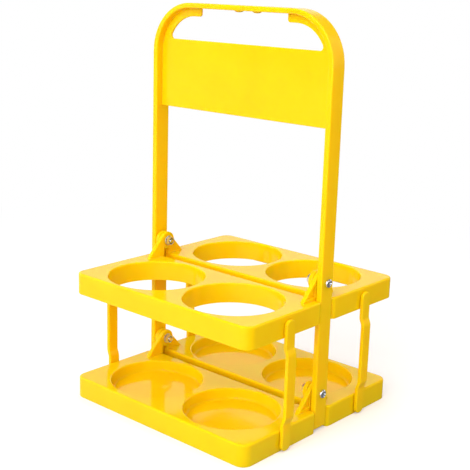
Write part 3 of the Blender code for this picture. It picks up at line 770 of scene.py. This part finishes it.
def plated_steel(name, color, gloss, shade_radius=0.0):
    """Zinc-plated steel: faint bluish and straw tints, uneven gloss, small pits.

    A nut's bore gets painted shade: it is dark out to the given radius from its bolt's axis.
    """
    mat, n, shader = new_material(name)
    cool, warm = ([c * k for c, k in zip(color, tint)] for tint in (COOL_TINT, WARM_TINT))
    coat = n.mix(n.span(n.noise(TINT_SCALE, 2.0), 0.0, 1.0), (*cool, 1.0), (*warm, 1.0))
    # Painted shade in the nut's bore: the colour turns near-black close to the axis of either
    # tier's bolt.
    if shade_radius:
        place = n.add("SeparateXYZ", Vector=n.coords).outputs
        tiers_middle = (UPPER_PIVOT_Z + LOWER_PIVOT_Z) / 2
        from_middle = n.math("ABSOLUTE", n.math("SUBTRACT", place["Z"], tiers_middle))
        height = n.math("SUBTRACT", from_middle, (UPPER_PIVOT_Z - LOWER_PIVOT_Z) / 2)
        squares = [n.math("MULTIPLY", side, side) for side in (place["Y"], height)]
        radius = n.math("SQRT", n.math("ADD", *squares))
        coat = n.mix(n.span(radius, 0.0, 1.0, shade_radius - BORE_SHADE_FADE, shade_radius), BORE_SHADE_BLACK, coat)
    n.put(shader["Base Color"], coat)
    n.put(shader["Roughness"], n.span(n.noise(DULLNESS_SCALE, 3.0), gloss - 0.06, gloss + 0.08))
    n.put(shader["Normal"], n.bump(n.noise(PIT_SCALE, 2.0), PIT_STRENGTH, PIT_DEPTH))
    shader["Metallic"].default_value = 1.0
    return mat


# Dressing

def dress(source, name, node, body, mat, matrix):
    """Put a smooth copy of the source in the node's place."""
    mesh = source.data.copy()
    mesh.transform(matrix)
    mesh.materials.clear()
    mesh.materials.append(mat)
    mesh.shade_smooth()
    mesh.set_sharp_from_angle(angle=SMOOTH_BELOW)
    piece = scratch(name, mesh)
    weighted = piece.modifiers.new("even_faces", "WEIGHTED_NORMAL")
    weighted.keep_sharp = True
    weighted.weight = 100
    bpy.context.view_layer.update()
    evaluated = piece.evaluated_get(bpy.context.evaluated_depsgraph_get())
    piece.data = bpy.data.meshes.new_from_object(evaluated)
    piece.modifiers.clear()
    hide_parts(node)
    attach(piece, body)
    return piece


FRAME_PLASTIC = moulded_plastic("frame_yellow_plastic", 0.15)
TRAY_PLASTIC = moulded_plastic("tray_yellow_plastic", 0.09)
LINK_PLASTIC = moulded_plastic("link_yellow_plastic", 0.19)
BOLT_STEEL = plated_steel("bolt_zinc", (0.84, 0.85, 0.87), 0.14)
NUT_STEEL = plated_steel("nut_zinc", (0.90, 0.91, 0.93), 0.32, BORE_SHADE_RADIUS)
WASHER_STEEL = plated_steel("washer_zinc", (0.84, 0.85, 0.87), 0.38)

FRAME = handle_frame()
dress(FRAME, "frame_moulding", "handle_frame", "carrying_frame",
      FRAME_PLASTIC, Matrix.Identity(4))

TRAYS = {"upper": (half_tray(UPPER_CUP_RADIUS, UPPER_CUP_Y, 0.0, COLLAR_LIFT), UPPER_PIVOT_Z),
         "lower": (half_tray(LOWER_CUP_RADIUS, LOWER_CUP_Y, RECESS_FLOOR, 0.0), LOWER_PIVOT_Z)}
LINK = side_link()
for end, facing, turn in (("front", -1, Matrix.Identity(4)), ("rear", 1, HALF_TURN)):
    for tier, (tray, pivot_z) in TRAYS.items():
        dress(tray, f"{end}_{tier}_tray_moulding", f"{end}_{tier}_tray", f"{end}_{tier}_half",
              TRAY_PLASTIC, Matrix.Translation((0.0, 0.0, pivot_z)) @ turn)
    pin_z = TIER_PITCH + LINK_PIN_LIFT
    for side, spin in (("right", Matrix.Identity(4)), ("left", HALF_TURN)):
        dress(LINK, f"{end}_{side}_link_moulding", f"{end}_{side}_link", f"{end}_{side}_strap",
              LINK_PLASTIC,
              Matrix.Translation((0.0, facing * LINK_Y, pin_z)) @ spin)

FASTENERS = (("bolt", bolt(), BOLT_STEEL, BOLT_SEAT_X),
             ("washer", washer(), WASHER_STEEL, WASHER_X),
             ("nut", nut(), NUT_STEEL, NUT_X))
for tier, z in (("upper", UPPER_PIVOT_Z), ("lower", LOWER_PIVOT_Z)):
    for side, sign in (("right", 1), ("left", -1)):
        outwards = Matrix.Rotation(sign * math.pi / 2, 4, "Y")
        for kind, source, mat, x in FASTENERS:
            dress(source, f"{tier}_{side}_{kind}_body", f"{tier}_{side}_{kind}", "carrying_frame",
                  mat, Matrix.Translation((sign * x, 0.0, z)) @ outwards)

HALF_TRAYS = [tray for tray, _ in TRAYS.values()]
for source in (FRAME, LINK, *HALF_TRAYS, *[entry[1] for entry in FASTENERS]):
    bpy.data.objects.remove(source)


# Floor, light and camera

PLAIN_WHITE = (1.0, 1.0, 1.0, 1.0)
FLOOR_RADIUS = 4.0
PAPER_SCALE = 220.0
PAPER_GREYS = (0.86, 0.86, 0.86, 1.0), (0.89, 0.89, 0.89, 1.0)
PAPER_ROUGHNESS = 0.85
PAPER_GLOSS = 0.1
BOUNCE_GREY = (0.45, 0.45, 0.45, 1.0)   # the floor in the light that it throws back
FLOOR_LIFT = 0.15
SHADOW_ENDS = 0.25, 0.80        # distances over which the floor turns plain white
LIT_SIDE = (-0.7, -0.7, 0.0)
LIT_SPREAD = -0.10, 0.15
DIM_SIDE = 0.15
AMBIENT = 0.78
DIM_AMBIENT = 0.46
DIM_DIRECTION = (0.85, 0.0, -0.50)
DIM_SPREAD = -0.1, 0.8
BACKDROP_SIDE = (-0.64, 0.73, 0.24)
BACKDROP_SPREAD = -0.2, 0.5
BACKDROP_TOP = 0.44, 0.56
ABOVE_BACKDROP = 0.15
LAMP_AIM = Vector((0.0, 0.0, 0.15))


def studio_floor():
    """White paper that keeps the object's shadow and turns plain white further away.

    In reflections it is lit on the key lamp's side only.
    """
    mesh = bpy.data.meshes.new("floor")
    form = bmesh.new()
    bmesh.ops.create_circle(form, cap_ends=True, radius=FLOOR_RADIUS, segments=FLOOR_STEPS)
    form.to_mesh(mesh)
    form.free()
    mat, n, shader = new_material("white_paper")
    paper = n.mix(n.noise(PAPER_SCALE, 3.0), *PAPER_GREYS)
    direct, mirrored = n.rays()
    n.put(shader["Base Color"], n.mix(direct, BOUNCE_GREY, paper))
    shader["Roughness"].default_value = PAPER_ROUGHNESS
    shader["Specular IOR Level"].default_value = PAPER_GLOSS
    shader["Emission Color"].default_value = PLAIN_WHITE
    away = n.add("VectorMath", {"operation": "LENGTH"})
    n.put(away.inputs[0], n.coords)
    n.put(shader["Emission Strength"], n.math("MULTIPLY", direct, FLOOR_LIFT))
    plain = n.add("Emission", Color=PLAIN_WHITE, Strength=1.0)
    far = n.add("MapRange", {"interpolation_type": "SMOOTHSTEP"}, Value=away.outputs["Value"],
                From_Min=SHADOW_ENDS[0], From_Max=SHADOW_ENDS[1])
    blend = n.add("MixShader")
    n.put(blend.inputs[0], n.math("MULTIPLY", direct, far.outputs["Result"]))
    n.put(blend.inputs[1], mat.node_tree.nodes["Principled BSDF"].outputs[0])
    n.put(blend.inputs[2], plain.outputs[0])
    lit = n.span(n.dot(n.coords, LIT_SIDE), DIM_SIDE, 1.0, *LIT_SPREAD)
    mirror = n.add("Emission", Color=PLAIN_WHITE, Strength=lit)
    choice = n.add("MixShader")
    for socket, value in zip(choice.inputs, (mirrored, blend.outputs[0], mirror.outputs[0])):
        n.put(socket, value)
    n.put(mat.node_tree.nodes["Material Output"].inputs["Surface"], choice.outputs[0])
    mesh.materials.append(mat)
    return scratch("floor", mesh)


def studio_world():
    """White surroundings; in reflections, only a low backdrop behind the object is bright."""
    world = bpy.data.worlds.new("studio")
    world.use_nodes = True
    n = Nodes(world.node_tree)
    direct, mirrored = n.rays()
    towards = n.add("TexCoord").outputs["Generated"]
    side = n.span(n.dot(towards, BACKDROP_SIDE), DIM_SIDE, 1.0, *BACKDROP_SPREAD)
    height = n.add("SeparateXYZ", Vector=towards).outputs["Z"]
    backdrop = n.math("MULTIPLY", side, n.span(height, 1.0, ABOVE_BACKDROP, *BACKDROP_TOP))
    ambient = n.span(n.dot(towards, DIM_DIRECTION), AMBIENT, DIM_AMBIENT, *DIM_SPREAD)
    level = n.span(mirrored, ambient, backdrop, 0.0, 1.0)
    background = world.node_tree.nodes["Background"]
    background.inputs["Color"].default_value = PLAIN_WHITE
    n.put(background.inputs["Strength"], n.math("MAXIMUM", level, direct))
    bpy.context.scene.world = world


def sight_line(azimuth, elevation):
    """Unit vector from the object towards the azimuth (0 is -Y, 90 is +X) and elevation."""
    return Vector((math.sin(azimuth) * math.cos(elevation),
                   -math.cos(azimuth) * math.cos(elevation), math.sin(elevation)))


def area_light(name, azimuth, elevation, distance, size, power, color=(1.0, 1.0, 1.0)):
    """Square lamp that the object sees at the azimuth and elevation, in degrees."""
    light = bpy.data.lights.new(name, "AREA")
    light.size = size
    light.energy = power
    light.color = color
    lamp = scratch(name, light)
    towards = sight_line(math.radians(azimuth), math.radians(elevation))
    lamp.location = LAMP_AIM + towards * distance
    lamp.rotation_euler = towards.to_track_quat("Z", "Y").to_euler()


studio_floor()
studio_world()
area_light("key", 12.0, 26.0, 1.6, 1.6, 24.6)
area_light("fill", 95.0, 38.0, 1.8, 1.2, 7.0, (1.0, 0.86, 0.70))
area_light("top", 60.0, 78.0, 1.7, 1.2, 0.5)
area_light("side", -62.0, 20.0, 1.8, 1.2, 3.5)

camera_data = bpy.data.cameras.new("photo_camera")
camera_data.lens = CAMERA_LENS
camera_data.sensor_width = SENSOR
camera = scratch("photo_camera", camera_data)
back = sight_line(CAMERA_AZIMUTH, CAMERA_ELEVATION)
level_right = Vector((math.cos(CAMERA_AZIMUTH), math.sin(CAMERA_AZIMUTH), 0.0))
level_up = back.cross(level_right)
right = math.cos(CAMERA_ROLL) * level_right + math.sin(CAMERA_ROLL) * level_up
up = math.cos(CAMERA_ROLL) * level_up - math.sin(CAMERA_ROLL) * level_right
turn = Matrix((right, up, back)).transposed().to_4x4()
camera.matrix_world = Matrix.Translation(CAMERA_TARGET + back * CAMERA_DISTANCE) @ turn
bpy.context.scene.camera = camera

bpy.context.scene.view_settings.view_transform = "Standard"
